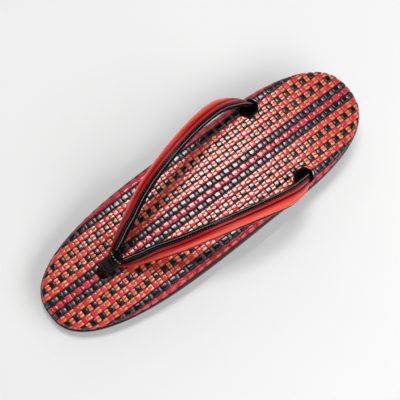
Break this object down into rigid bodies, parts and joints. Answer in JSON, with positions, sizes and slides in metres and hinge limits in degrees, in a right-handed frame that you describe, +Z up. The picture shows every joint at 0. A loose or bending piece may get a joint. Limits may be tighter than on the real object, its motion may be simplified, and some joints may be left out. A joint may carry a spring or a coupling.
{
  "type": "zori sandal",
  "caption": "Flat-soled zori sandal with a woven vinyl footbed, black covered sole and a padded red V strap held by a black toe post.",
  "frame": {"origin": "on the floor under the middle of the sole's length and width", "axes": "+X to the toe, +Y to the wearer's left, +Z up from the floor"},
  "size_m": [0.24, 0.08, 0.0692],
  "materials": {
    "outsole_rubber": "matt black rubber with a fine grain",
    "black_vinyl": "black covered side, half gloss with a fine grain",
    "woven_vinyl": "glossy woven vinyl strips in red, black and orange",
    "strap_black_vinyl": "glossy black vinyl",
    "red_vinyl": "smooth red vinyl with a satin shine"
  },
  "bodies": {
    "root": {"outsole": "outsole_rubber", "midsole": "black_vinyl", "footbed": "woven_vinyl", "strap_band": "strap_black_vinyl", "strap_cover": "red_vinyl", "toe_post": "strap_black_vinyl"}
  },
  "joints": []
}
